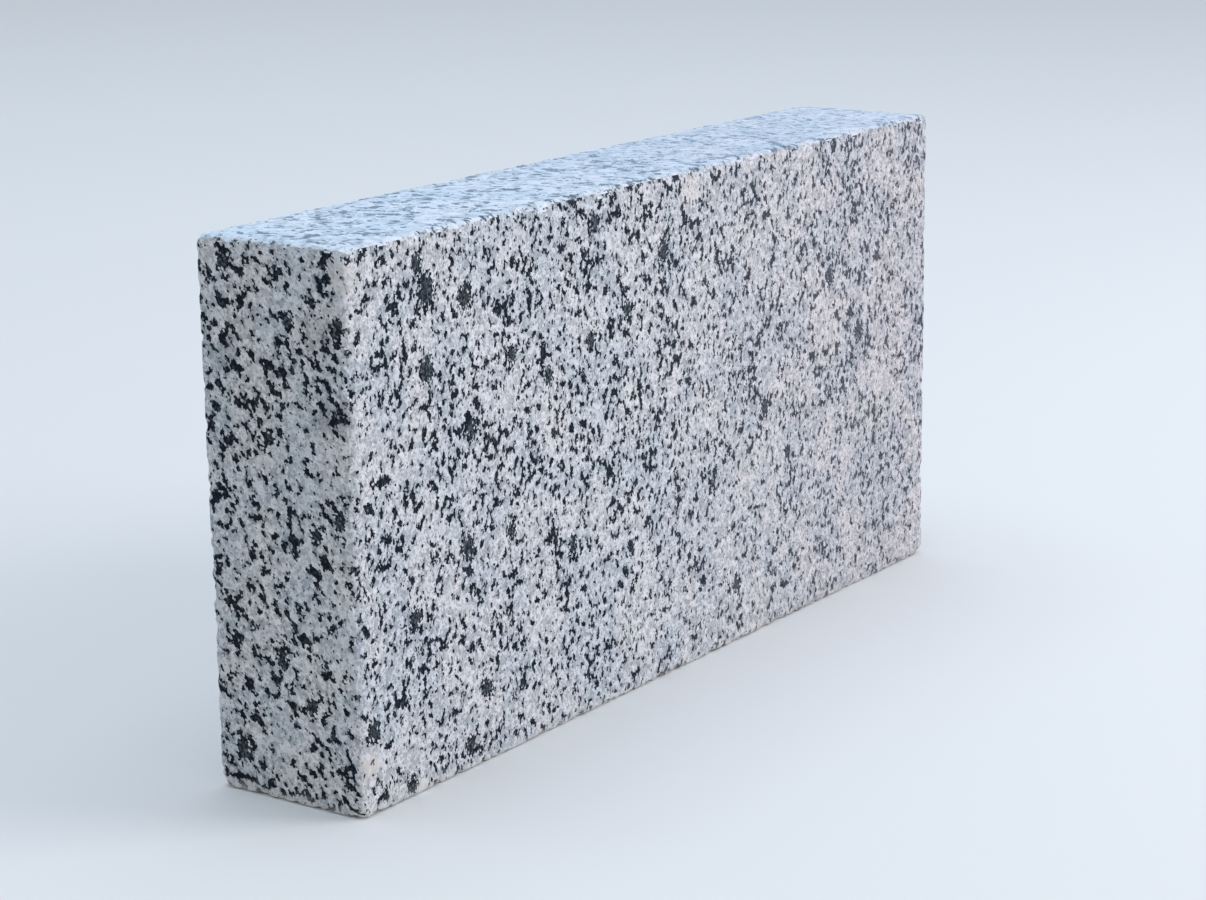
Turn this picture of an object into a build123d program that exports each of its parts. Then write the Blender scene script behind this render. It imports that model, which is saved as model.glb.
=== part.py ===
from build123d import *
import os

# Granite kerb stone: one sawn block, standing on its long narrow bed.
# Millimetres. The origin is the centre of the bed, +X runs along the kerb,
# +Y from the face to the back, and +Z up.

# Sawn size
LENGTH = 600
THICKNESS = 100
HEIGHT = 300

# Arrises rubbed off after sawing, one radius for each family of edges
TOP_ARRIS = 3
END_ARRIS = 3.5
BED_ARRIS = 2.5

# Corners knocked in handling, each set back from its sharp corner
# along the kerb, across it and up or down it
LEFT_FACE_BED_KNOCK = (5, 12, 8)
LEFT_BACK_BED_KNOCK = (7, 8, 11)
LEFT_BACK_TOP_KNOCK = (8, 6, 6)
RIGHT_FACE_BED_KNOCK = (11, 8, 6)
RIGHT_FACE_TOP_KNOCK = (3, 6, 16)
RIGHT_BACK_TOP_KNOCK = (16, 12, 4)

# Spalls, shallow scoops out of an arris: how far from its end of the arris
# the middle lies, how long the scoop is, and how deep
FACE_BED_SPALL = (62, 7, 1.8)
FACE_BED_LONG_SPALL = (188, 22, 1.4)
END_BED_SPALL = (70, 11, 1.6)
FACE_TOP_SPALL = (96, 14, 1.1)
BACK_TOP_SPALL = (141, 16, 1.3)
RIGHT_FACE_LOW_SPALL = (57, 18, 1.2)
RIGHT_FACE_HIGH_SPALL = (119, 20, 1)

# Outward direction of each face of the block, as the sign on its axis
LEFT, RIGHT = -1, 1
FACE, BACK = -1, 1
BED, TOP = -1, 1

HALF_SIZE = Vector(LENGTH / 2, THICKNESS / 2, HEIGHT / 2)
BLOCK_CENTRE = Vector(0, 0, HEIGHT / 2)


def sharp_corner(end, side, level):
    """The corner of the block before its arrises are eased."""
    return BLOCK_CENTRE + Vector(end * HALF_SIZE.X, side * HALF_SIZE.Y, level * HALF_SIZE.Z)


def sawn_block():
    """The block as it leaves the saw."""
    return Pos(BLOCK_CENTRE) * Box(LENGTH, THICKNESS, HEIGHT)


def eased(block):
    """Rounds the arrises: the upright ones, then those round the top and the bed."""
    block = fillet(block.edges().filter_by(Axis.Z), END_ARRIS)
    block = fillet(block.faces().sort_by(Axis.Z)[-1].edges(), TOP_ARRIS)
    return fillet(block.faces().sort_by(Axis.Z)[0].edges(), BED_ARRIS)


def knock(end, side, level, setback):
    """Waste outside the plane that cuts a corner off at its three setbacks."""
    along, across, up = setback
    corner = sharp_corner(end, side, level)
    outward = Vector(end / along, side / across, level / up)
    cut = Plane(corner - Vector(end * along, 0, 0), z_dir=outward)
    waste = 2 * max(setback)
    return cut * Box(waste * 2, waste * 2, waste, align=(Align.CENTER, Align.CENTER, Align.MIN))


def spall(start, direction, outward, eased_by, scoop):
    """Ball that bites one shallow scoop out of an arris eased to a radius."""
    place, reach, depth = scoop
    ball_radius = (reach**2 / 4 + depth**2) / (2 * depth)
    outward = Vector(outward).normalized()
    rounded_off = eased_by * (2**0.5 - 1)
    deepest = start + Vector(direction) * place - outward * (rounded_off + depth)
    return Pos(deepest + outward * ball_radius) * Sphere(ball_radius)


def knocks():
    """The waste of every knocked corner."""
    return [
        knock(LEFT, FACE, BED, LEFT_FACE_BED_KNOCK),
        knock(LEFT, BACK, BED, LEFT_BACK_BED_KNOCK),
        knock(LEFT, BACK, TOP, LEFT_BACK_TOP_KNOCK),
        knock(RIGHT, FACE, BED, RIGHT_FACE_BED_KNOCK),
        knock(RIGHT, FACE, TOP, RIGHT_FACE_TOP_KNOCK),
        knock(RIGHT, BACK, TOP, RIGHT_BACK_TOP_KNOCK),
    ]


def spalls():
    """The waste of every spalled arris."""
    to_right, to_left, to_back, upward = (1, 0, 0), (-1, 0, 0), (0, 1, 0), (0, 0, 1)
    left_face_bed = sharp_corner(LEFT, FACE, BED)
    right_face_bed = sharp_corner(RIGHT, FACE, BED)
    right_face_top = sharp_corner(RIGHT, FACE, TOP)
    right_back_top = sharp_corner(RIGHT, BACK, TOP)
    face_bed, end_bed, right_face = (0, FACE, BED), (LEFT, 0, BED), (RIGHT, FACE, 0)
    face_top, back_top = (0, FACE, TOP), (0, BACK, TOP)
    return [
        spall(left_face_bed, to_right, face_bed, BED_ARRIS, FACE_BED_SPALL),
        spall(right_face_bed, to_left, face_bed, BED_ARRIS, FACE_BED_LONG_SPALL),
        spall(left_face_bed, to_back, end_bed, BED_ARRIS, END_BED_SPALL),
        spall(right_face_top, to_left, face_top, TOP_ARRIS, FACE_TOP_SPALL),
        spall(right_back_top, to_left, back_top, TOP_ARRIS, BACK_TOP_SPALL),
        spall(right_face_bed, upward, right_face, END_ARRIS, RIGHT_FACE_LOW_SPALL),
        spall(right_face_bed, upward, right_face, END_ARRIS, RIGHT_FACE_HIGH_SPALL),
    ]


kerb_stone = eased(sawn_block()) - knocks() - spalls()

os.makedirs("parts", exist_ok=True)
export_step(kerb_stone, "parts/kerb_stone.step")
print("kerb_stone", round(kerb_stone.volume / 1e6, 3), "litres")
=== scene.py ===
# %% [markdown]
# # A granite kerb stone
#
# The stone is one block of grey biotite granite, 600 mm long, 300 mm high and 100 mm thick, standing on its long
# narrow bed. The saw cuts it to size, a torch flakes the surfaces that stay in sight, and the arrises are rubbed off
# so that they don't cut the hands of whoever lays it. We build the block as the mason does, in the same order, and
# then give it its crystals.
#
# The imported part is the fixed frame. Everything below is placed from its box, in metres.

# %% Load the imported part
import math

import bpy
import numpy as np
from mathutils import Matrix, Vector


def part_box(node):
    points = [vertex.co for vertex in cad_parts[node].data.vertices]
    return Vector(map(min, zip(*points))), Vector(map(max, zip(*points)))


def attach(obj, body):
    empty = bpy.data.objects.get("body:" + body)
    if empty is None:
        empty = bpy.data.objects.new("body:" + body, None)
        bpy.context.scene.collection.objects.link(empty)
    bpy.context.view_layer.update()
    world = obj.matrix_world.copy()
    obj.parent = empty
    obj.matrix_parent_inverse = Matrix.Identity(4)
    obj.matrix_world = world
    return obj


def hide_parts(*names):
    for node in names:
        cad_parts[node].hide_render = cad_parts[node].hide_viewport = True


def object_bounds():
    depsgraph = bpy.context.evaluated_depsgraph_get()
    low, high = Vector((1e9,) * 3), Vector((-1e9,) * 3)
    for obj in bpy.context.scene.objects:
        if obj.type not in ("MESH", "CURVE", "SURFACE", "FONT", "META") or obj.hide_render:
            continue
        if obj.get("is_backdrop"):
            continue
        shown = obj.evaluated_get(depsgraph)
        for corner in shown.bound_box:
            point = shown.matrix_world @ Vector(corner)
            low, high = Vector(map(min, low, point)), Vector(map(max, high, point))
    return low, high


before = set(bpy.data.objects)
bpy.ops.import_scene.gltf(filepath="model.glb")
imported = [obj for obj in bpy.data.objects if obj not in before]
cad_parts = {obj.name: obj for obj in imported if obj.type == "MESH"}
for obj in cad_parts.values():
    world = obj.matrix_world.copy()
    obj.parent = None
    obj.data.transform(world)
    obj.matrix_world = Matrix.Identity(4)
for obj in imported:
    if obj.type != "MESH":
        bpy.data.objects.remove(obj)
cad_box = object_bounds()

MM = 0.001
low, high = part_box("kerb_stone")
size = high - low
centre = (low + high) / 2
print("block", [round(side / MM, 1) for side in size], "mm")

# %% [markdown]
# ## The sawn block
#
# A block this plain could be drawn from eight points. We add Blender's cube at the block's size and place instead,
# and apply the scale at once, so that a millimetre in edit mode is a millimetre of stone.

# %% Add the sawn block
def pick(obj):
    """Makes one object the only selected one, because an operator acts on all that is selected."""
    bpy.ops.object.select_all(action="DESELECT")
    obj.select_set(True)
    bpy.context.view_layer.objects.active = obj


bpy.ops.object.select_all(action="DESELECT")
bpy.ops.mesh.primitive_cube_add(size=1, location=centre, scale=size)
stone = bpy.context.object
stone.name = "granite_block"
bpy.ops.object.transform_apply(location=True, rotation=True, scale=True)
print("sawn block", [round(side / MM, 1) for side in stone.dimensions], "mm")

# %% [markdown]
# ## Rubbed arrises
#
# An arris is the edge where two faces of a stone meet. On a new kerb it is eased by hand, so it is round and small.
# The bevel tool rounds a selected edge. The upright arrises come first, then those round the top and the bed, because
# a bevel that meets an arc at the corner closes it by itself. The upright ones have to be the roundest, or the corner
# has no face left to end in. All are a little tighter than on the drawing, since the nibbling further down takes more.

# %% Round the arrises
TOP_ARRIS = 2.8 * MM
END_ARRIS = 3.2 * MM
BED_ARRIS = 2 * MM
ARRIS_STEPS = 6
NEAR = 0.01 * MM


def ease(is_arris, radius):
    """Bevels the edges whose two ends pass a test."""
    pick(stone)
    bpy.ops.object.mode_set(mode="EDIT")
    bpy.ops.mesh.select_mode(type="EDGE")
    bpy.ops.mesh.select_all(action="DESELECT")
    bpy.ops.object.mode_set(mode="OBJECT")
    points = stone.data.vertices
    for edge in stone.data.edges:
        edge.select = is_arris(points[edge.vertices[0]].co, points[edge.vertices[1]].co)
    bpy.ops.object.mode_set(mode="EDIT")
    bpy.ops.mesh.bevel(offset=radius, segments=ARRIS_STEPS, affect="EDGES")
    bpy.ops.object.mode_set(mode="OBJECT")


ease(lambda a, b: abs(a.z - b.z) > size.z / 2, END_ARRIS)
ease(lambda a, b: min(a.z, b.z) > high.z - NEAR, TOP_ARRIS)
ease(lambda a, b: max(a.z, b.z) < low.z + NEAR, BED_ARRIS)
print("eased block", len(stone.data.polygons), "faces")

# %% [markdown]
# ## Knocked corners
#
# Where a corner of a stone is knocked, a flake comes off along a nearly flat break. Bisect does the same thing: it
# cuts the mesh along a plane, clears the outer side and fills the cut. Each plane is set by how far it lies from the
# sharp corner along the kerb, across it and up it, which is also how one would measure the damage with a rule.

# %% Knock the corners
LEFT, RIGHT, FACE, BACK, BED, TOP = -1, 1, -1, 1, -1, 1
KNOCKED_CORNERS = {
    (LEFT, FACE, BED): Vector((5, 12, 8)) * MM,
    (LEFT, BACK, BED): Vector((7, 8, 11)) * MM,
    (LEFT, BACK, TOP): Vector((8, 6, 6)) * MM,
    (RIGHT, FACE, BED): Vector((11, 8, 6)) * MM,
    (RIGHT, FACE, TOP): Vector((3, 6, 16)) * MM,
    (RIGHT, BACK, TOP): Vector((16, 12, 4)) * MM,
}


def sharp_corner(end, side, level):
    """The corner of the block as sawn."""
    return centre + Vector((end * size.x, side * size.y, level * size.z)) / 2


for (end, side, level), setback in KNOCKED_CORNERS.items():
    on_arris = sharp_corner(end, side, level) - Vector((end * setback.x, 0, 0))
    outward = Vector((end / setback.x, side / setback.y, level / setback.z)).normalized()
    pick(stone)
    bpy.ops.object.mode_set(mode="EDIT")
    bpy.ops.mesh.select_all(action="SELECT")
    bpy.ops.mesh.bisect(plane_co=on_arris, plane_no=outward, use_fill=True, clear_outer=True)
    bpy.ops.object.mode_set(mode="OBJECT")
print("knocked corners", len(KNOCKED_CORNERS))

# %% [markdown]
# ## Spalls along the arrises
#
# A spall is a shallow scoop that a blow takes out of an arris. It is cut by a ball: the ball's radius follows from
# how long and how deep the scoop is. The balls become one cutter, which a Boolean modifier takes away in one go.

# %% Cut the spalls
right_face_bed = sharp_corner(RIGHT, FACE, BED)
left_face_bed = sharp_corner(LEFT, FACE, BED)
right_face_top = sharp_corner(RIGHT, FACE, TOP)
right_back_top = sharp_corner(RIGHT, BACK, TOP)
# start of the arris, direction along it, outward direction, arris radius, (place, length, depth) in mm
SPALLS = [
    (left_face_bed, (1, 0, 0), (0, FACE, BED), BED_ARRIS, (62, 7, 1.8)),
    (right_face_bed, (-1, 0, 0), (0, FACE, BED), BED_ARRIS, (188, 22, 1.4)),
    (left_face_bed, (0, 1, 0), (LEFT, 0, BED), BED_ARRIS, (70, 11, 1.6)),
    (right_face_top, (-1, 0, 0), (0, FACE, TOP), TOP_ARRIS, (96, 14, 1.1)),
    (right_back_top, (-1, 0, 0), (0, BACK, TOP), TOP_ARRIS, (141, 16, 1.3)),
    (right_face_bed, (0, 0, 1), (RIGHT, FACE, 0), END_ARRIS, (57, 18, 1.2)),
    (right_face_bed, (0, 0, 1), (RIGHT, FACE, 0), END_ARRIS, (119, 20, 1)),
]
BALL_DETAIL = 5

bpy.ops.object.select_all(action="DESELECT")
balls = []
for start, direction, outward, eased_by, scoop in SPALLS:
    place, reach, depth = (value * MM for value in scoop)
    outward = Vector(outward).normalized()
    ball_radius = (reach**2 / 4 + depth**2) / (2 * depth)
    deepest = start + Vector(direction) * place - outward * (eased_by * (math.sqrt(2) - 1) + depth)
    middle = deepest + outward * ball_radius
    bpy.ops.mesh.primitive_ico_sphere_add(subdivisions=BALL_DETAIL, radius=ball_radius, location=middle)
    balls.append(bpy.context.object)
for ball in balls:
    ball.select_set(True)
bpy.ops.object.join()
cutter = bpy.context.object

pick(stone)
cut = stone.modifiers.new("spalls", "BOOLEAN")
cut.operation = "DIFFERENCE"
cut.solver = "EXACT"
cut.object = cutter
bpy.ops.object.modifier_apply(modifier=cut.name)
bpy.data.objects.remove(cutter)
print("spalls", len(SPALLS), "leave", len(stone.data.polygons), "faces")

# %% [markdown]
# ## From a drawing to stone
#
# So far the block is as clean as a drawing. Relief needs points to move, evenly spread. Subdividing would crowd them
# round the knocks and starve the wide faces, so a voxel remesh lays a fine, even skin over the block instead. The same
# step softens the borders of the knocks and spalls by about a millimetre, as weather does.

# %% Lay a fine skin over the block
SKIN = 1.2 * MM

pick(stone)
skin = stone.modifiers.new("skin", "REMESH")
skin.mode = "VOXEL"
skin.voxel_size = SKIN
bpy.ops.object.modifier_apply(modifier=skin.name)
print("skin", len(stone.data.vertices), "points")

# %% [markdown]
# ## Where the relief goes
#
# The face, the back and the top are flamed: heat flakes them, so they are rough all over. The ends and the bed are
# left as the saw leaves them, nearly smooth. Every arris is nibbled, whichever faces meet there. A vertex group tells
# a modifier how strongly to act at each point, so we measure each point's distance from the block's three pairs of
# planes. The smallest of the three says which face it lies on, and the second smallest how far the nearest arris is.

# %% Group the points by face and by arris
ARRIS_REACH = 5 * MM
ARRIS_LEVELS = 7

flat_points = np.empty(len(stone.data.vertices) * 3, np.float32)
stone.data.vertices.foreach_get("co", flat_points)
points = flat_points.reshape(-1, 3)
depths = np.array(size) / 2 - np.abs(points - np.array(centre))
nearest_axis = depths.argmin(axis=1)
arris_distance = np.sort(depths, axis=1)[:, 1]
above_middle = points[:, 2] > centre.z


def group_points(name, chosen, weight=1.0):
    """Puts the chosen points into a vertex group at one weight."""
    group = stone.vertex_groups.get(name) or stone.vertex_groups.new(name=name)
    group.add(np.flatnonzero(chosen).tolist(), weight, "REPLACE")


flamed = (nearest_axis == 1) | ((nearest_axis == 2) & above_middle)
group_points("flamed", flamed)
group_points("sawn", ~flamed)
for level in range(ARRIS_LEVELS):
    inner = ARRIS_REACH * level / ARRIS_LEVELS
    outer = ARRIS_REACH * (level + 1) / ARRIS_LEVELS
    band = (arris_distance >= inner) & (arris_distance < outer)
    group_points("arris", band, 1 - level / ARRIS_LEVELS)
print("flamed", int(flamed.sum()), "sawn", int((~flamed).sum()), "points")

# %% [markdown]
# ## Relief in the mesh
#
# Each kind of roughness is a Displace modifier with its own noise: broad shallow waves and small scoops where the
# flame took flakes off, a faint waviness from the saw, and coarse nibbles along the arrises. The middle level is 1,
# the most that a noise can give, so a modifier only ever takes stone away and the block never outgrows its sawn size.
# The nibbles also pass a colour ramp that turns all but the dark half of the noise white, so they come one by one.

# %% Displace the skin
def roughen(name, kind, grain, depth, group, intact=None, **settings):
    """Takes up to a depth off a group of points, by a noise of a grain size, and nothing where it is over intact."""
    noise = bpy.data.textures.new(name, kind)
    noise.noise_scale = grain
    for setting, value in settings.items():
        setattr(noise, setting, value)
    if intact is not None:
        noise.use_color_ramp = True
        deepest, untouched = noise.color_ramp.elements
        deepest.position, untouched.position = intact / 2, intact
        deepest.color, untouched.color = (0, 0, 0, 1), (1, 1, 1, 1)
    pick(stone)
    relief = stone.modifiers.new(name, "DISPLACE")
    relief.texture = noise
    relief.texture_coords = "LOCAL"
    relief.direction = "NORMAL"
    relief.mid_level = 1
    relief.strength = depth
    relief.vertex_group = group
    bpy.ops.object.modifier_apply(modifier=relief.name)


roughen("flame_waves", "CLOUDS", 22 * MM, 0.5 * MM, "flamed", noise_depth=2)
roughen("flame_scoops", "VORONOI", 6 * MM, 0.5 * MM, "flamed")
roughen("saw_waves", "CLOUDS", 30 * MM, 0.2 * MM, "sawn", noise_depth=1)
roughen("arris_nibbles", "CLOUDS", 6 * MM, 2 * MM, "arris", intact=0.52, noise_depth=2)
roughen("arris_wear", "CLOUDS", 26 * MM, 0.5 * MM, "arris", noise_depth=1)
print("relief block", [round(side / MM, 2) for side in stone.dimensions], "mm")

# %% [markdown]
# ## A lighter mesh
#
# The skin has about four times as many triangles as the relief needs. A coarser skin would blunt the arrises, so we
# keep it fine and then let Decimate merge the triangles where the surface is nearly flat. The arrises, which is where
# the eye looks, keep theirs.

# %% Thin the mesh
MOST_TRIANGLES = 190_000

triangles = 2 * len(stone.data.polygons)
if triangles > MOST_TRIANGLES:
    pick(stone)
    thin = stone.modifiers.new("thin", "DECIMATE")
    thin.ratio = MOST_TRIANGLES / triangles
    bpy.ops.object.modifier_apply(modifier=thin.name)
pick(stone)
bpy.ops.object.mode_set(mode="EDIT")
bpy.ops.mesh.select_all(action="SELECT")
bpy.ops.mesh.normals_make_consistent(inside=False)
bpy.ops.object.mode_set(mode="OBJECT")
bpy.ops.object.shade_smooth()
stone.vertex_groups.clear()
print("stone", len(stone.data.polygons), "faces")

# %% [markdown]
# ## A flat map of the block
#
# The crystals below are solid patterns, so they need no map. A map is still worth having, because it lets the colours
# be baked for other programs. A block unfolds without stretch: each face of the mesh is laid flat on the side of the
# block that it looks towards, and the six sides fill a square.

# %% Unfold the block
MAP_SIDE = 824 * MM
MAP_GAP = 4 * MM

polygons = stone.data.polygons
normals = np.empty(len(polygons) * 3, np.float32)
polygons.foreach_get("normal", normals)
normals = normals.reshape(-1, 3)
side_axis = np.abs(normals).argmax(axis=1)
side_sign = np.take_along_axis(normals, side_axis[:, None], axis=1)[:, 0] > 0
corner_count = np.empty(len(polygons), np.int32)
polygons.foreach_get("loop_total", corner_count)
corner_point = np.empty(len(stone.data.loops), np.int32)
stone.data.loops.foreach_get("vertex_index", corner_point)
flat_points = np.empty(len(stone.data.vertices) * 3, np.float32)
stone.data.vertices.foreach_get("co", flat_points)
corner_place = flat_points.reshape(-1, 3)[corner_point] - np.array(low)
corner_axis = np.repeat(side_axis, corner_count)
corner_sign = np.repeat(side_sign, corner_count)

# side of the block: the two axes that it shows, and the lower left corner of its place on the map
end_column = size.x + 2 * MAP_GAP
MAP_SIDES = {
    (1, False): (0, 2, MAP_GAP, MAP_GAP),
    (1, True): (0, 2, MAP_GAP, size.z + 2 * MAP_GAP),
    (2, False): (0, 1, MAP_GAP, 2 * size.z + 3 * MAP_GAP),
    (2, True): (0, 1, MAP_GAP, 2 * size.z + size.y + 4 * MAP_GAP),
    (0, False): (1, 2, end_column, MAP_GAP),
    (0, True): (1, 2, end_column + size.y + MAP_GAP, MAP_GAP),
}
uv = np.zeros((len(corner_point), 2), np.float32)
for (axis, sign), (across, up, left, bottom) in MAP_SIDES.items():
    here = (corner_axis == axis) & (corner_sign == sign)
    uv[here, 0] = corner_place[here, across] + left
    uv[here, 1] = corner_place[here, up] + bottom
unfolded = stone.data.uv_layers.new(name="OFBake")
unfolded.data.foreach_set("uv", (uv / MAP_SIDE).ravel())
print("map spans", uv.min() / MAP_SIDE, "to", uv.max() / MAP_SIDE)

# %% [markdown]
# ## Helpers for the nodes
#
# A material is a tree of nodes. Short helpers keep its cells readable: one adds a node and fills its inputs with
# numbers or links, one does arithmetic, one turns a stretch of a value into another, and one mixes two colours. The
# last starts a group of nodes, which is a part of a tree that several materials can share.

# %% Node helpers
def put(tree, kind, settings=None, inputs=None):
    """Adds a node, sets its properties, and gives each input a value or another node's output."""
    node = tree.nodes.new(kind)
    for name, value in (settings or {}).items():
        setattr(node, name, value)
    for name, value in (inputs or {}).items():
        if isinstance(value, bpy.types.NodeSocket):
            tree.links.new(value, node.inputs[name])
        else:
            node.inputs[name].default_value = value
    return node


def maths(tree, operation, *values):
    """Arithmetic on numbers."""
    return put(tree, "ShaderNodeMath", {"operation": operation}, dict(enumerate(values))).outputs[0]


def ramp(tree, value, start, end, low_value=0.0, high_value=1.0):
    """Turns a stretch of one value into a smooth stretch of another."""
    inputs = {"Value": value, "From Min": start, "From Max": end, "To Min": low_value, "To Max": high_value}
    return put(tree, "ShaderNodeMapRange", {"interpolation_type": "SMOOTHSTEP"}, inputs).outputs[0]


def blend(tree, factor, below, above, kind="MIX"):
    """Mixes two colours."""
    settings = {"data_type": "RGBA", "blend_type": kind, "clamp_factor": True}
    mix = put(tree, "ShaderNodeMix", settings, {0: factor, 6: below, 7: above})
    return mix.outputs[2]


def effect(name, inputs, outputs):
    """Starts a shader node group with named sockets, and returns its tree, its input node and its output node."""
    tree = bpy.data.node_groups.new(name, "ShaderNodeTree")
    for socket, kind, value in inputs:
        made = tree.interface.new_socket(name=socket, in_out="INPUT", socket_type=kind)
        if value is not None:
            made.default_value = value
    for socket, kind in outputs:
        tree.interface.new_socket(name=socket, in_out="OUTPUT", socket_type=kind)
    return tree, tree.nodes.new("NodeGroupInput"), tree.nodes.new("NodeGroupOutput")


NUMBER, COLOUR, PLACE = "NodeSocketFloat", "NodeSocketColor", "NodeSocketVector"
print("node helpers ready")

# %% [markdown]
# ## Crystals
#
# Granite is a mosaic of crystals that grew until they met. A Voronoi texture is such a mosaic, with a random colour
# for each cell, and that colour is the dice that decides what the crystal is. Real crystals have ragged borders, so
# the place that a mosaic reads is first frayed by a finer noise. All of it is measured in millimetres.

# %% Crystal helpers
def mosaic(tree, place, crystal, fray=None, reach=0.0):
    """A solid mosaic of crystals of a size: its three dice, how far the middle of the crystal is, and where."""
    if fray is not None:
        shift = put(tree, "ShaderNodeVectorMath", {"operation": "SCALE"}, {0: fray, "Scale": reach}).outputs[0]
        place = put(tree, "ShaderNodeVectorMath", {"operation": "ADD"}, {0: place, 1: shift}).outputs[0]
    cells = put(tree, "ShaderNodeTexVoronoi", {"feature": "F1"}, {"Vector": place, "Scale": 1 / crystal})
    dice = put(tree, "ShaderNodeSeparateColor", None, {0: cells.outputs["Color"]}).outputs
    return dice[0], dice[1], dice[2], cells.outputs["Distance"], cells.outputs["Position"]


def clouds(tree, place, width, detail=2.0):
    """A noise from 0 to 1 whose lumps have a width."""
    inputs = {"Vector": place, "Scale": 1 / width, "Detail": detail, "Roughness": 0.55}
    return put(tree, "ShaderNodeTexNoise", None, inputs)


print("crystal helpers ready")

# %% [markdown]
# ## The colours of the granite
#
# Pale feldspar and bluish quartz fill the ground. Black biotite lies in it as specks, flakes and clots as wide as a
# fingernail. Around biotite the pale crystals are see-through enough to look smoky, and here and there a flake lies
# just under the surface, as a grey ghost.

# %% Colours of the granite
FELDSPAR_WHITE = (0.75, 0.745, 0.765, 1)
FELDSPAR_GREY = (0.57, 0.59, 0.60, 1)
QUARTZ_GREY = (0.47, 0.495, 0.52, 1)
GHOST_GREY = (0.27, 0.30, 0.325, 1)
BIOTITE_BLACK = (0.006, 0.009, 0.015, 1)
BIOTITE_GREY = (0.050, 0.064, 0.080, 1)
CLOT_GREY = (0.120, 0.145, 0.160, 1)
SHADE_GREY = (0.13, 0.155, 0.18, 1)
# pale bluish colour laid on the dark grains: a painted sheen of the low sky, strongest on the top and towards the far
# end
PAINTED_SHEEN_WHITE = (0.56, 0.60, 0.68, 1)
COOL_STAIN = (0.89, 0.94, 0.975, 1)
ROSY_STAIN = (0.93, 0.885, 0.885, 1)
print("granite colours ready")

# %% [markdown]
# ## The pale ground
#
# A first mosaic gives each crystal of the ground its mineral and its tone. A second, much finer one makes each grain
# a little lighter or darker than its neighbour, which is what makes broken stone look like sugar.

# %% Pale ground
GROUND_CRYSTAL, SUGAR_GRAIN = 2.8, 0.95
QUARTZ_SHARE = 0.22


def pale_ground(tree, place, fray, sugar):
    """The colour of feldspar and quartz, with a sugary sparkle of a strength."""
    kind, tone, _, _, _ = mosaic(tree, place, GROUND_CRYSTAL, fray, 2.6)
    feldspar = blend(tree, tone, FELDSPAR_WHITE, FELDSPAR_GREY)
    ground = blend(tree, maths(tree, "LESS_THAN", kind, QUARTZ_SHARE), feldspar, QUARTZ_GREY)
    grain, _, _, _, _ = mosaic(tree, place, SUGAR_GRAIN, fray, 0.5)
    sparkle = maths(tree, "MULTIPLY_ADD", maths(tree, "SUBTRACT", grain, 0.5), sugar, 1.0)
    return blend(tree, 1.0, ground, sparkle, "MULTIPLY")


print("pale ground ready")

# %% [markdown]
# ## Flakes of biotite
#
# The trick is to decide grain by grain. The mosaic is stretched along the slanting grain of the block, as the crystals
# were, and each of its small cells reads the slow noises at its own middle. So a cloud of dark turns into whole angular
# grains. Four things add up: wide clouds, patches, the nearness to the middle of a flake, and chance. Where the sum
# passes a bar the grain is biotite.

# %% Flakes
# widths in mm, from the widest clouds to the single grain
CLUSTER, PATCH, FLAKE, GRAIN = 14.0, 4.2, 3.2, 1.2
CLUSTER_WEIGHT, MIDDLE_WEIGHT, DICE_WEIGHT = 0.58, 0.38, 0.2
USUAL_MIDDLE = 0.45
FOLIATION = (math.radians(-38), 0.0, 0.0)
FOLIATION_STRETCH = (0.78, 0.94, 1.2)


def foliated(tree, place, direction):
    """A place seen along the slanting grain of the block, for TEXTURE, or back from there, for POINT."""
    inputs = {"Vector": place, "Rotation": FOLIATION, "Scale": FOLIATION_STRETCH}
    return put(tree, "ShaderNodeMapping", {"vector_type": direction}, inputs).outputs[0]


def darkness(tree, spot):
    """How strongly the grain at a spot is drawn to be biotite."""
    cluster = maths(tree, "SUBTRACT", clouds(tree, spot, CLUSTER, 1.0).outputs[0], 0.5)
    dark = maths(tree, "MULTIPLY_ADD", cluster, CLUSTER_WEIGHT, clouds(tree, spot, PATCH, 0.5).outputs[0])
    dice, _, _, from_middle, _ = mosaic(tree, spot, FLAKE)
    dark = maths(tree, "MULTIPLY_ADD", maths(tree, "SUBTRACT", USUAL_MIDDLE, from_middle), MIDDLE_WEIGHT, dark)
    return maths(tree, "MULTIPLY_ADD", maths(tree, "SUBTRACT", dice, 0.5), DICE_WEIGHT, dark)


print("flakes ready")

# %% [markdown]
# ## The large clots
#
# A few clots are so wide that the eye knows the stone by them. They are listed one by one, like the knocks, each with
# its middle on the block and its radius. They are taller than wide, as the grain of the stone is on the face.

# %% Large clots
# how far a clot reaches in its radii, and how much its grains differ in that
CLOT_EDGE, CLOT_RAGGEDNESS = 1.15, 0.72
CLOT_STRETCH = Vector((1.0, 1.0, 1.35))
# middle of each large clot on the block, and its radius across the stretch, in mm
LARGE_CLOTS = [
    ((-235, -50, 268), 8), ((-203, -50, 260), 7), ((-237, -50, 227), 7), ((-243, -50, 284), 5), ((-85, -50, 283), 5),
    ((-53, -50, 228), 5), ((-89, -50, 216), 5), ((-163, -50, 222), 5), ((-15, -50, 257), 6),
    ((-200, -50, 188), 5), ((-130, -50, 204), 5), ((173, -50, 212), 6), ((95, -50, 142), 6), ((-205, -50, 125), 7),
    ((-167, -50, 125), 5), ((-110, -50, 103), 5), ((-52, -50, 87), 4), ((-252, -50, 96), 6), ((-289, -50, 46), 6),
    ((-192, -50, 42), 6), ((-208, -50, 14), 5), ((62, -50, 37), 5), ((210, -50, 170), 6), ((-259, -50, 7), 5),
    ((-300, 2, 79), 5), ((-300, 31, 25), 7), ((-300, -17, 55), 5), ((-300, -11, 260), 5), ((-300, -44, 259), 5),
    ((-300, 4, 197), 4), ((-300, 31, 286), 5), ((-300, -25, 150), 5), ((-300, -41, 160), 5),
]


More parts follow.
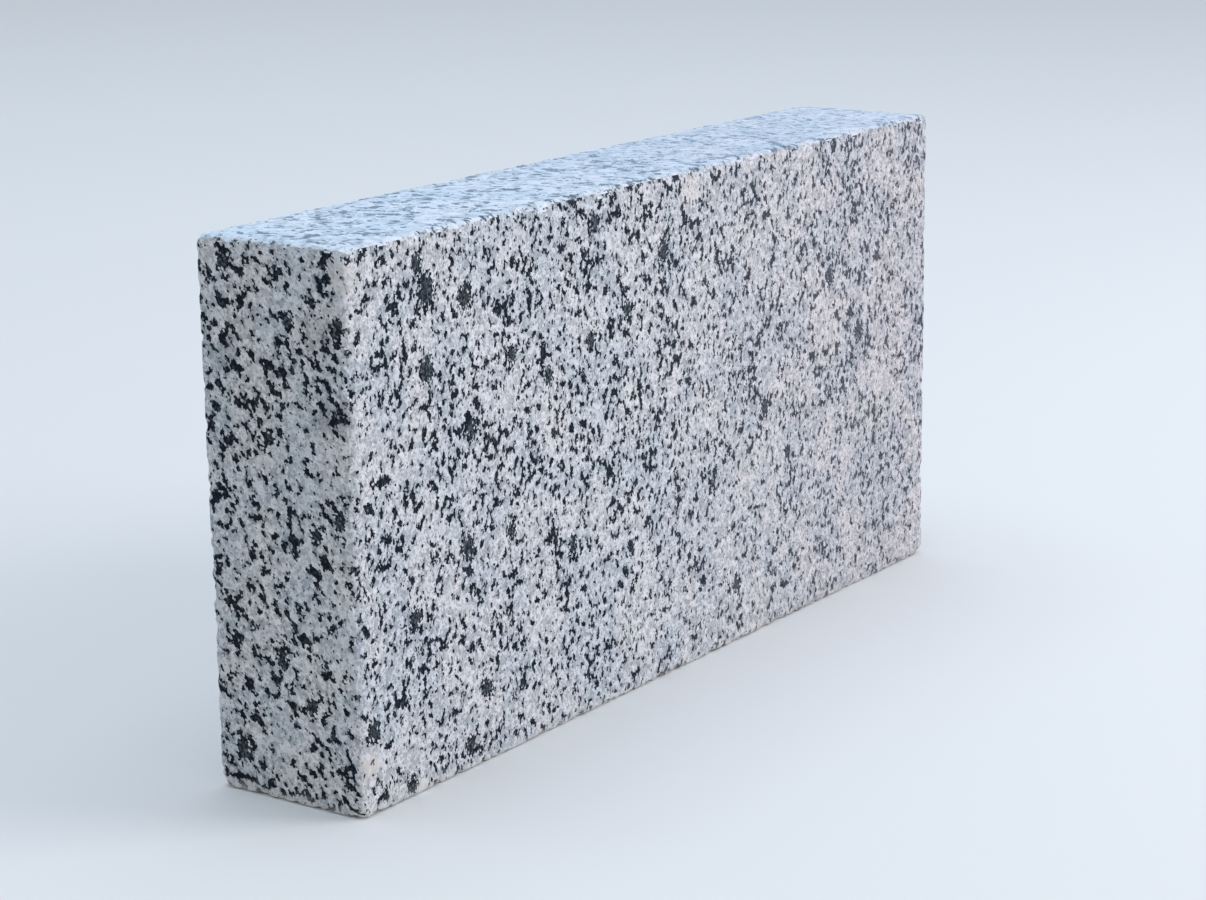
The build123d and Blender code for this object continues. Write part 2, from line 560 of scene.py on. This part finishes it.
def nearest_clot(tree, place):
    """How many of its radii away the nearest large clot is."""
    shrunk = put(tree, "ShaderNodeVectorMath", {"operation": "DIVIDE"}, {0: place, 1: CLOT_STRETCH}).outputs[0]
    nearest = 2 * CLOT_EDGE
    for clot_middle, radius in LARGE_CLOTS:
        middle = [side / stretch for side, stretch in zip(clot_middle, CLOT_STRETCH)]
        away = put(tree, "ShaderNodeVectorMath", {"operation": "DISTANCE"}, {0: shrunk, 1: middle}).outputs["Value"]
        nearest = maths(tree, "MINIMUM", nearest, maths(tree, "DIVIDE", away, radius))
    return nearest


print("large clots", len(LARGE_CLOTS))

# %% [markdown]
# ## The granite
#
# Now the parts come together in one group, and its inputs say how a surface shows them. The bar is what a grain must
# pass to be a flake, veil and smoke are the grey shade beside and around flakes, sugar is the sparkle of the ground,
# and the painted sheen is a pale, bluish colour laid on the dark grains, a painted reflection of the low sky. Thinning
# makes flakes rarer towards the far end and the foot, and drift gathers them in wide clouds.

# %% Group: granite
STAIN, FRAY = 30.0, 1.5
# how far below the bar the specks, the smoke and the veil begin, and how strong a ghost is
SPECK_DEPTH, SMOKE_DEPTH, VEIL_DEPTH = 0.3, 0.24, 0.06
GHOST_STRENGTH = 0.65
# where along the block the far part begins and where it is full, and how high the foot reaches, in mm
FAR_START, FAR_END, FOOT_TOP = -120.0, 280.0, 180.0
# how much rarer flakes get towards the far end of the face and down to its foot, and how much painted sheen pales the
# far end
FAR_THINNING, FOOT_THINNING, FAR_PAINTED_SHEEN = 0.026, 0.04, 0.14


def granite_crystals():
    """The stone at a place in mm: its colour, and where biotite lies."""
    tree, given, result = effect(
        "granite crystals",
        [
            ("Place", PLACE, None),
            ("Flake bar", NUMBER, 0.6),
            ("Speck share", NUMBER, 0.06),
            ("Ghost share", NUMBER, 0.1),
            ("Veil", NUMBER, 0.6),
            ("Smoke", NUMBER, 0.2),
            ("Sugar", NUMBER, 0.1),
            ("Painted sheen", NUMBER, 0.0),
            ("Thinning", NUMBER, 0.0),
            ("Drift", NUMBER, 0.0),
            ("Tint", COLOUR, (1, 1, 1, 1)),
        ],
        [("Colour", COLOUR), ("Biotite", NUMBER)],
    )
    given = given.outputs
    place = given["Place"]
    fray = put(
        tree,
        "ShaderNodeVectorMath",
        {"operation": "SUBTRACT"},
        {0: clouds(tree, place, FRAY, 3.0).outputs["Color"], 1: (0.5, 0.5, 0.5)},
    ).outputs[0]
    ground = pale_ground(tree, place, fray, given["Sugar"])

    grained = foliated(tree, place, "TEXTURE")
    dice, tone, shade_dice, _, spot = mosaic(tree, grained, GRAIN, fray, 1.2)
    dark = darkness(tree, spot)

    along, _, up = put(tree, "ShaderNodeSeparateXYZ", None, {0: place}).outputs
    far = maths(tree, "MULTIPLY", ramp(tree, along, FAR_START, FAR_END), given["Thinning"])
    foot = maths(tree, "MULTIPLY", ramp(tree, up, FOOT_TOP, 0.0), given["Thinning"])
    bar = maths(tree, "MULTIPLY_ADD", far, FAR_THINNING, given["Flake bar"])
    bar = maths(tree, "MULTIPLY_ADD", foot, FOOT_THINNING, bar)
    stain = clouds(tree, place, STAIN, 1.0).outputs[0]
    bar = maths(tree, "MULTIPLY_ADD", maths(tree, "SUBTRACT", stain, 0.5), given["Drift"], bar)

    over_bar = maths(tree, "SUBTRACT", dark, bar)
    is_flake = maths(tree, "GREATER_THAN", over_bar, 0.0)
    crowd = ramp(tree, over_bar, -SPECK_DEPTH, 0.0, 0.3, 2.0)
    is_speck = maths(tree, "LESS_THAN", dice, maths(tree, "MULTIPLY", given["Speck share"], crowd))
    is_ghost = maths(tree, "GREATER_THAN", dice, maths(tree, "SUBTRACT", 1.0, given["Ghost share"]))
    clot_reach = nearest_clot(tree, foliated(tree, spot, "POINT"))
    ragged_reach = maths(tree, "MULTIPLY_ADD", shade_dice, CLOT_RAGGEDNESS, clot_reach)
    is_clot = maths(tree, "LESS_THAN", ragged_reach, CLOT_EDGE)
    biotite = maths(tree, "MAXIMUM", is_flake, maths(tree, "MAXIMUM", is_speck, is_clot))

    flake_colour = blend(tree, ramp(tree, tone, 0.6, 1.05), BIOTITE_BLACK, BIOTITE_GREY)
    speck_colour = blend(tree, ramp(tree, tone, 0.3, 1.0), BIOTITE_BLACK, GHOST_GREY)
    clot_heart = maths(tree, "MULTIPLY", ramp(tree, clot_reach, 1.0, 0.5), maths(tree, "MULTIPLY", tone, tone))
    clot_colour = blend(tree, clot_heart, BIOTITE_BLACK, CLOT_GREY)
    smoke = maths(tree, "MULTIPLY", ramp(tree, over_bar, -SMOKE_DEPTH, 0.02), given["Smoke"])
    veil = maths(tree, "MULTIPLY", ramp(tree, over_bar, -VEIL_DEPTH, 0.0), given["Veil"])
    # painted sheen: the dark grains are paled towards the far end, most on the top, where the low sky would be mirrored
    painted_sheen = maths(tree, "MULTIPLY_ADD", far, FAR_PAINTED_SHEEN, given["Painted sheen"])
    painted_sheen = maths(tree, "MULTIPLY", painted_sheen, maths(tree, "MULTIPLY_ADD", shade_dice, 1.6, 0.2))

    colour = blend(tree, smoke, ground, SHADE_GREY)
    colour = blend(tree, maths(tree, "MULTIPLY", is_ghost, GHOST_STRENGTH), colour, GHOST_GREY)
    colour = blend(tree, maths(tree, "MULTIPLY", veil, shade_dice), colour, SHADE_GREY)
    colour = blend(tree, is_speck, colour, speck_colour)
    colour = blend(tree, is_flake, colour, flake_colour)
    colour = blend(tree, is_clot, colour, clot_colour)
    # the painted sheen lightens the biotite
    colour = blend(tree, maths(tree, "MULTIPLY", painted_sheen, biotite), colour, PAINTED_SHEEN_WHITE)
    colour = blend(tree, ramp(tree, stain, 0.35, 0.65), blend(tree, 1.0, colour, COOL_STAIN, "MULTIPLY"), colour)
    colour = blend(tree, far, colour, blend(tree, 1.0, colour, ROSY_STAIN, "MULTIPLY"))
    colour = blend(tree, 1.0, colour, given["Tint"], "MULTIPLY")
    tree.links.new(colour, result.inputs["Colour"])
    tree.links.new(biotite, result.inputs["Biotite"])
    return tree


GRANITE_CRYSTALS = granite_crystals()
print("granite group", len(GRANITE_CRYSTALS.nodes), "nodes")

# %% [markdown]
# ## How far the arris is
#
# Wear begins at the arrises, so its masks need the distance from the nearest one. It could be painted or baked, but
# the block is so plain that sums on the place give it. They are the same as for the relief: of the depths below the
# three pairs of planes, the second smallest.

# %% Distance from the arris
HALF_LENGTH, HALF_THICKNESS, HALF_HEIGHT = (side / 2 / MM for side in size)


def arris_depth(tree, along, across, up):
    """How far from the nearest arris a place on the block is."""
    end_depth = maths(tree, "SUBTRACT", HALF_LENGTH, maths(tree, "ABSOLUTE", along))
    face_depth = maths(tree, "SUBTRACT", HALF_THICKNESS, maths(tree, "ABSOLUTE", across))
    from_middle = maths(tree, "ABSOLUTE", maths(tree, "SUBTRACT", up, HALF_HEIGHT))
    bed_depth = maths(tree, "SUBTRACT", HALF_HEIGHT, from_middle)
    upright = maths(tree, "MINIMUM", end_depth, face_depth)
    level = maths(tree, "MINIMUM", maths(tree, "MAXIMUM", end_depth, face_depth), bed_depth)
    return maths(tree, "MAXIMUM", upright, level)


print("half block", [round(side, 1) for side in (HALF_LENGTH, HALF_THICKNESS, HALF_HEIGHT)], "mm")

# %% [markdown]
# ## Blooms and smudges
#
# Iron in the stone gives a few warm blooms, and damp leaves grey smudges. They are too few to leave to a noise, so each
# is listed with its place. A patch is a ball about its spot, whose border a noise makes ragged.

# %% Patches
# place of each warm bloom on the block, its radius in mm, and how strong it is
WARM_BLOOMS = [
    ((-298, -49, 286), 11, 0.45), ((-293, -50, 27), 9, 0.7), ((12, -50, 286), 12, 0.35), ((-125, -50, 175), 14, 0.25),
    ((178, -50, 178), 28, 0.2), ((230, -50, 120), 32, 0.2), ((72, -50, 113), 18, 0.2), ((-62, -50, 36), 16, 0.2),
]
# the same for each grey smudge
GREY_SMUDGES = [((-300, -38, 212), 14, 0.4), ((-300, 32, 238), 12, 0.3), ((-300, -30, 255), 14, 0.25)]
# how far out a patch is full, and how ragged its border is, in its radii
PATCH_HEART, PATCH_RAGGEDNESS = 0.4, 1.2


def near(tree, place, spot, radius, heart, rough, reach):
    """A patch about a spot: full as far as its heart, gone at its radius, and roughened by a noise."""
    away = put(tree, "ShaderNodeVectorMath", {"operation": "DISTANCE"}, {0: place, 1: spot}).outputs["Value"]
    return ramp(tree, maths(tree, "MULTIPLY_ADD", rough, reach, away), radius, heart)


def patches(tree, place, spots, rough):
    """Soft patches, each with its own strength."""
    mask = 0.0
    for spot, radius, strength in spots:
        patch = near(tree, place, spot, radius, radius * PATCH_HEART, rough, radius * PATCH_RAGGEDNESS)
        mask = maths(tree, "MAXIMUM", mask, maths(tree, "MULTIPLY", patch, strength))
    return mask


print("blooms", len(WARM_BLOOMS), "smudges", len(GREY_SMUDGES))

# %% [markdown]
# ## A hairline
#
# A crack runs up from the knock at the lower near corner. It is too thin to model, so it is a line of colour: where
# the height over the foot of the crack differs little from the slope times the way across.

# %% Hairline
# the crack lies on the near end: its foot across and up, its slope, length and half width, and how deep it goes in
CRACK_FOOT, CRACK_SLOPE, CRACK_LENGTH, CRACK_WIDTH, CRACK_DEPTH = (-50, 0.5), math.radians(33), 14, 1.0, 4
CRACK_WANDER = 1.2


def hairline(tree, along, across, up, rough):
    """The crack in the near end, which a noise makes wander."""
    foot_across, foot_up = CRACK_FOOT
    run = maths(tree, "SUBTRACT", across, foot_across)
    rise = maths(tree, "SUBTRACT", up, foot_up)
    off = maths(tree, "MULTIPLY_ADD", run, -math.tan(CRACK_SLOPE), rise)
    off = maths(tree, "ABSOLUTE", maths(tree, "MULTIPLY_ADD", rough, CRACK_WANDER, off))
    crack = ramp(tree, off, CRACK_WIDTH, CRACK_WIDTH * 0.4)
    crack = maths(tree, "MULTIPLY", crack, maths(tree, "LESS_THAN", run, CRACK_LENGTH))
    return maths(tree, "MULTIPLY", crack, maths(tree, "LESS_THAN", along, CRACK_DEPTH - HALF_LENGTH))


print("crack", CRACK_LENGTH, "mm long")

# %% [markdown]
# ## Wear and stains
#
# Where the arrises are rubbed, crushed crystals leave a whitish bruise. Pale dust from the ground clings above the
# bed, and one pale grain sits in the foot of the face. With the blooms, the smudges and the crack they make up one
# group, and each comes out of it as a mask, so that every finish can show as much of it as it needs.

# %% Group: arris wear
# widths of the two noises that roughen the borders of what follows
RAGGED, PATCHY = 3.0, 11.0
BRUISE_WIDTH, BRUISE_RAGGEDNESS = 2.5, 9.0
DUST_HEIGHT, DUST_RAGGEDNESS = 8.0, 12.0
PALE_GRAIN, PALE_GRAIN_RADIUS, PALE_GRAIN_RAGGEDNESS = (-250, -50, 3.5), 5.0, 2.5


def arris_wear():
    """Masks for what wear and the ground leave on the block."""
    tree, given, result = effect(
        "arris wear",
        [("Place", PLACE, None)],
        [(name, NUMBER) for name in ("Bruise", "Dust", "Bloom", "Smudge", "Pale grain", "Crack")],
    )
    place = given.outputs["Place"]
    along, across, up = put(tree, "ShaderNodeSeparateXYZ", None, {0: place}).outputs
    ragged = maths(tree, "SUBTRACT", clouds(tree, place, RAGGED, 2.0).outputs[0], 0.5)
    patchy = maths(tree, "SUBTRACT", clouds(tree, place, PATCHY, 3.0).outputs[0], 0.5)

    rubbed = maths(tree, "MULTIPLY_ADD", ragged, BRUISE_RAGGEDNESS, arris_depth(tree, along, across, up))
    dust_line = maths(tree, "MULTIPLY_ADD", patchy, DUST_RAGGEDNESS, up)
    grain_heart = PALE_GRAIN_RADIUS * 0.85
    masks = {
        "Bruise": ramp(tree, rubbed, BRUISE_WIDTH, 0.0),
        "Dust": ramp(tree, dust_line, DUST_HEIGHT, 0.0),
        "Bloom": patches(tree, place, WARM_BLOOMS, patchy),
        "Smudge": patches(tree, place, GREY_SMUDGES, patchy),
        "Pale grain": near(tree, place, PALE_GRAIN, PALE_GRAIN_RADIUS, grain_heart, ragged, PALE_GRAIN_RAGGEDNESS),
        "Crack": hairline(tree, along, across, up, ragged),
    }
    for name, mask in masks.items():
        tree.links.new(mask, result.inputs[name])
    return tree


ARRIS_WEAR = arris_wear()
print("wear group", len(ARRIS_WEAR.nodes), "nodes")

# %% [markdown]
# ## The broken surface
#
# Relief finer than the mesh is a bump: chips as wide as a crystal, and the grit on them. The group puts out a height,
# and each finish decides how deep it is.

# %% Group: broken surface
CHIP_WIDTH, GRIT_WIDTH = 2.6, 0.9


def broken_surface():
    """A height from 0 to 1: chips with grit on them."""
    tree, given, result = effect(
        "broken surface",
        [("Place", PLACE, None), ("Chip", NUMBER, 0.5)],
        [("Height", NUMBER)],
    )
    place = given.outputs["Place"]
    chip = put(tree, "ShaderNodeTexVoronoi", {"feature": "F1"}, {"Vector": place, "Scale": 1 / CHIP_WIDTH}).outputs[0]
    grit = clouds(tree, place, GRIT_WIDTH, 3.0).outputs[0]
    height = put(
        tree,
        "ShaderNodeMix",
        {"data_type": "FLOAT"},
        {0: given.outputs["Chip"], 2: grit, 3: chip},
    ).outputs[0]
    tree.links.new(height, result.inputs["Height"])
    return tree


BROKEN_SURFACE = broken_surface()
print("surface group", len(BROKEN_SURFACE.nodes), "nodes")

# %% [markdown]
# ## A surface for the granite
#
# A finish is the same stone with another surface, so one function makes them all. The crystals come first, then what
# wear and the ground leave on them, and then the finest relief as a bump. Biotite splits into smooth flakes, so it is
# glossier than the rest, and dust and blooms show less on it.

# %% Granite with a surface
BRUISE_WHITE = (0.78, 0.79, 0.81, 1)
DUST_CREAM = (0.70, 0.685, 0.65, 1)
BLOOM_BEIGE = (0.72, 0.67, 0.625, 1)
SMUDGE_GREY = (0.10, 0.12, 0.14, 1)
PALE_CREAM = (0.76, 0.75, 0.73, 1)
CRACK_BLACK = (0.01, 0.011, 0.013, 1)
# what share of the dust and of a warm bloom shows on biotite, and how much smoother biotite is than the rest
DUST_ON_BIOTITE, BLOOM_ON_BIOTITE, BIOTITE_GLOSS = 0.5, 0.1, 0.15


def granite_finish(name, crystals, relief, chip, roughness, bruised, dusty, specular=0.06, coarse=1.0):
    """A material that shows the granite, so many times coarser than it is, with one surface."""
    material = bpy.data.materials.new(name)
    material.use_nodes = True
    tree = material.node_tree
    shader = tree.nodes["Principled BSDF"]
    spot = put(tree, "ShaderNodeTexCoord").outputs["Object"]
    place, enlarged = (
        put(tree, "ShaderNodeVectorMath", {"operation": "SCALE"}, {0: spot, "Scale": 1 / unit}).outputs[0]
        for unit in (MM, MM * coarse)
    )
    inputs = {"Place": enlarged, **crystals}
    colour, biotite = put(tree, "ShaderNodeGroup", {"node_tree": GRANITE_CRYSTALS}, inputs).outputs
    wear = put(tree, "ShaderNodeGroup", {"node_tree": ARRIS_WEAR}, {"Place": place}).outputs
    smudged = maths(tree, "MULTIPLY", wear["Smudge"], maths(tree, "SUBTRACT", 1.0, biotite))
    colour = blend(tree, smudged, colour, SMUDGE_GREY)
    colour = blend(tree, maths(tree, "MULTIPLY", wear["Bruise"], bruised), colour, BRUISE_WHITE)
    takes_dust = maths(tree, "MULTIPLY_ADD", biotite, DUST_ON_BIOTITE - 1, 1.0)
    dusted = maths(tree, "MULTIPLY", maths(tree, "MULTIPLY", wear["Dust"], dusty), takes_dust)
    colour = blend(tree, dusted, colour, DUST_CREAM)
    takes_bloom = maths(tree, "MULTIPLY_ADD", biotite, BLOOM_ON_BIOTITE - 1, 1.0)
    colour = blend(tree, maths(tree, "MULTIPLY", wear["Bloom"], takes_bloom), colour, BLOOM_BEIGE)
    colour = blend(tree, maths(tree, "MULTIPLY", wear["Pale grain"], 0.85), colour, PALE_CREAM)
    colour = blend(tree, wear["Crack"], colour, CRACK_BLACK)
    inputs = {"Place": place, "Chip": chip}
    height = put(tree, "ShaderNodeGroup", {"node_tree": BROKEN_SURFACE}, inputs).outputs[0]
    bump = put(tree, "ShaderNodeBump", None, {"Strength": 1.0, "Distance": relief, "Height": height})
    rough = maths(tree, "MULTIPLY_ADD", biotite, -BIOTITE_GLOSS, roughness)
    tree.links.new(colour, shader.inputs["Base Color"])
    tree.links.new(rough, shader.inputs["Roughness"])
    tree.links.new(bump.outputs[0], shader.inputs["Normal"])
    shader.inputs["Specular IOR Level"].default_value = specular
    return material


print("surface helper ready")

# %% [markdown]
# ## Three finishes
#
# Flamed stone is bright and sugary, because the heat shatters the top of each crystal. Sawn stone is darker, flatter
# and a little smoother. The top is worn smooth enough to mirror the sky at a low angle, and its colour adds a painted
# blue reflection of the sky and a painted sheen that veil its flakes. Its crystals show coarser than those of the face.
# The three differ only in numbers.

# %% Flamed, sawn, and the worn top with its painted sky
FLAMED = granite_finish(
    "flamed_granite",
    {
        "Flake bar": 0.585,
        "Speck share": 0.02,
        "Ghost share": 0.24,
        "Veil": 0.9,
        "Smoke": 0.22,
        "Sugar": 0.18,
        "Painted sheen": 0.0,
        "Thinning": 1.0,
        "Drift": 0.22,
        "Tint": (1.075, 1.045, 1.055, 1),
    },
    relief=0.25 * MM,
    chip=0.4,
    roughness=0.8,
    bruised=0.3,
    dusty=0.35,
)
SAWN = granite_finish(
    "sawn_granite",
    {
        "Flake bar": 0.606,
        "Speck share": 0.045,
        "Ghost share": 0.16,
        "Veil": 0.9,
        "Smoke": 0.34,
        "Sugar": 0.22,
        "Painted sheen": 0.0,
        "Thinning": 0.5,
        "Drift": 0.05,
        "Tint": (0.98, 0.95, 0.935, 1),
    },
    relief=0.06 * MM,
    chip=0.2,
    roughness=0.7,
    bruised=0.3,
    dusty=0.7,
)
# the top: worn smooth and glossy, with a painted blue reflection of the sky in its colour and painted sheen on its
# flakes
WORN_TOP_PAINTED_SKY = granite_finish(
    "worn_top_painted_sky",
    {
        "Flake bar": 0.622,
        "Speck share": 0.04,
        "Ghost share": 0.05,
        "Veil": 0.8,
        "Smoke": 0.16,
        "Sugar": 0.08,
        "Painted sheen": 0.03,
        # the large thinning pales and thins the flakes towards the far end, a painted sheen of the low sky
        "Thinning": 2.4,
        "Drift": 0.1,
        # the blue of this tint is a painted reflection of the sky
        "Tint": (1.02, 1.07, 1.14, 1),
    },
    relief=0.08 * MM,
    chip=0.4,
    roughness=0.42,
    bruised=0.6,
    dusty=0.0,
    specular=0.85,
    coarse=1.6,
)
FINISHES = [FLAMED, SAWN, WORN_TOP_PAINTED_SKY]
print("finishes", [finish.name for finish in FINISHES])

# %% [markdown]
# ## Each face takes its finish
#
# The sides could be three pieces with a material each, but then their borders would gape. One piece can hold several
# materials, and each face of its mesh says which is its own. A face takes the finish of the side that it looks
# towards, and the top keeps its own a little way down over its arrises.

# %% Finish of each face
# how far upwards a face has to look to count as the top, as the height of its normal
TOP_REACH = 0.35

stone.data.materials.clear()
for finish in FINISHES:
    stone.data.materials.append(finish)
is_sawn = (side_axis == 0) | ((side_axis == 2) & ~side_sign)
is_top = normals[:, 2] > TOP_REACH
finish_index = np.where(is_top, 2, np.where(is_sawn, 1, 0))
stone.data.polygons.foreach_set("material_index", finish_index.astype(np.int32))
stone.data.update()
print("faces by finish", np.bincount(finish_index).tolist())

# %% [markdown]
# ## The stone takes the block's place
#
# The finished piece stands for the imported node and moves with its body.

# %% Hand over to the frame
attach(stone, "root")
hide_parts("kerb_stone")
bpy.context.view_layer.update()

# %% [markdown]
# ## Floor
#
# The floor is plain and pale, so that it sends no colour of its own back to the stone. One plane is enough, as long as
# it reaches so far that its edge stays out of the picture.

# %% Floor
FLOOR_HALF = 14.0
FLOOR_COLOUR = (0.78, 0.78, 0.78, 1)

bpy.ops.object.select_all(action="DESELECT")
bpy.ops.mesh.primitive_plane_add(size=2 * FLOOR_HALF)
floor = bpy.context.object
floor.name = "floor"
floor_material = bpy.data.materials.new("pale_floor")
floor_material.use_nodes = True
floor_shader = floor_material.node_tree.nodes["Principled BSDF"]
floor_shader.inputs["Base Color"].default_value = FLOOR_COLOUR
floor_shader.inputs["Roughness"].default_value = 0.9
floor.data.materials.append(floor_material)
floor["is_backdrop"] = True
print("floor", 2 * FLOOR_HALF, "m wide")

# %% [markdown]
# ## Light
#
# The light is an overcast studio: an even sky, a wide cool panel overhead that whitens the top, and a wide panel to
# the right of the camera that lifts the long face, so the near end stays in shade. The sky alone would light the two
# alike. It has a second, bluer colour for the rays that see it straight or mirrored, so that the top can pick that up
# without tinting everything else.

# %% Light
SKY_COLOUR = (0.90, 0.95, 1.0, 1)
SKY_STRENGTH = 0.55
MIRRORED_SKY = (0.6, 0.86, 1.16, 1)

world = bpy.data.worlds.new("studio")
world.use_nodes = True
sky_tree = world.node_tree
ambient = sky_tree.nodes["Background"]
ambient.inputs["Color"].default_value = SKY_COLOUR
ambient.inputs["Strength"].default_value = SKY_STRENGTH
mirrored = put(sky_tree, "ShaderNodeBackground", None, {"Color": MIRRORED_SKY, "Strength": 1.0})
ray = put(sky_tree, "ShaderNodeLightPath").outputs
is_mirrored = maths(sky_tree, "MAXIMUM", ray["Is Camera Ray"], ray["Is Glossy Ray"])
sky = put(sky_tree, "ShaderNodeMixShader", None, {0: is_mirrored, 1: ambient.outputs[0], 2: mirrored.outputs[0]})
sky_tree.links.new(sky.outputs[0], sky_tree.nodes["World Output"].inputs["Surface"])
bpy.context.scene.world = world


def panel(name, place, width, watts, colour):
    """A square soft panel that faces the middle of the block."""
    bpy.ops.object.light_add(type="AREA", location=place)
    lamp = bpy.context.object
    lamp.name = name
    lamp.data.size = width
    lamp.data.energy = watts
    lamp.data.color = colour
    lamp.rotation_euler = (Vector(place) - centre).to_track_quat("Z", "Y").to_euler()


panel("overhead_panel", (0.2, 0.6, 6.0), 6.0, 175, (0.78, 0.92, 1.08))
panel("right_panel", (1.6, -2.4, 1.5), 1.6, 46, (1.0, 0.97, 0.99))

# %% [markdown]
# ## Camera
#
# The camera stands beyond the near end, on the side of the face and 1.7 m from the middle of the block, and looks
# slightly down along the kerb. It could be set by eye, but then the edges never quite meet. So its place, turn and lens
# are worked out as the ones at which the block's edges fall where they do in the photograph.

# %% Camera
CAMERA_PLACE = Vector((-1367.2, -951.4, 539.3)) * MM
CAMERA_YAW, CAMERA_PITCH, CAMERA_ROLL = (math.radians(turn) for turn in (55.0, -13.855, -0.86))
PHOTO_WIDTH = 1206
FOCAL_PIXELS = 2862.6
SENSOR = 36

forward = Vector(
    (
        math.cos(CAMERA_PITCH) * math.sin(CAMERA_YAW),
        math.cos(CAMERA_PITCH) * math.cos(CAMERA_YAW),
        math.sin(CAMERA_PITCH),
    )
)
right = forward.cross(Vector((0, 0, 1))).normalized()
upright = right.cross(forward)
rolled_right = math.cos(CAMERA_ROLL) * right + math.sin(CAMERA_ROLL) * upright
rolled_up = math.cos(CAMERA_ROLL) * upright - math.sin(CAMERA_ROLL) * right
bpy.ops.object.camera_add()
camera = bpy.context.object
camera.name = "camera"
camera.data.sensor_width = SENSOR
camera.data.lens = FOCAL_PIXELS / PHOTO_WIDTH * SENSOR
turn = Matrix((rolled_right, rolled_up, -forward)).transposed().to_4x4()
camera.matrix_world = Matrix.Translation(CAMERA_PLACE) @ turn
bpy.context.scene.camera = camera
bpy.context.scene.view_settings.view_transform = "Standard"
print("lens", round(camera.data.lens, 1), "mm")

# %% [markdown]
# ## Measure and finish
#
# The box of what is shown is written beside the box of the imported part, so that the two can be compared.

# %% Measure and finish
boxes = {"cad": cad_box, "visual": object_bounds()}
corners = zip(boxes["cad"], boxes["visual"])
print("inside the packed box by", [[round(abs(b - a) / MM, 2) for a, b in zip(*pair)] for pair in corners], "mm")
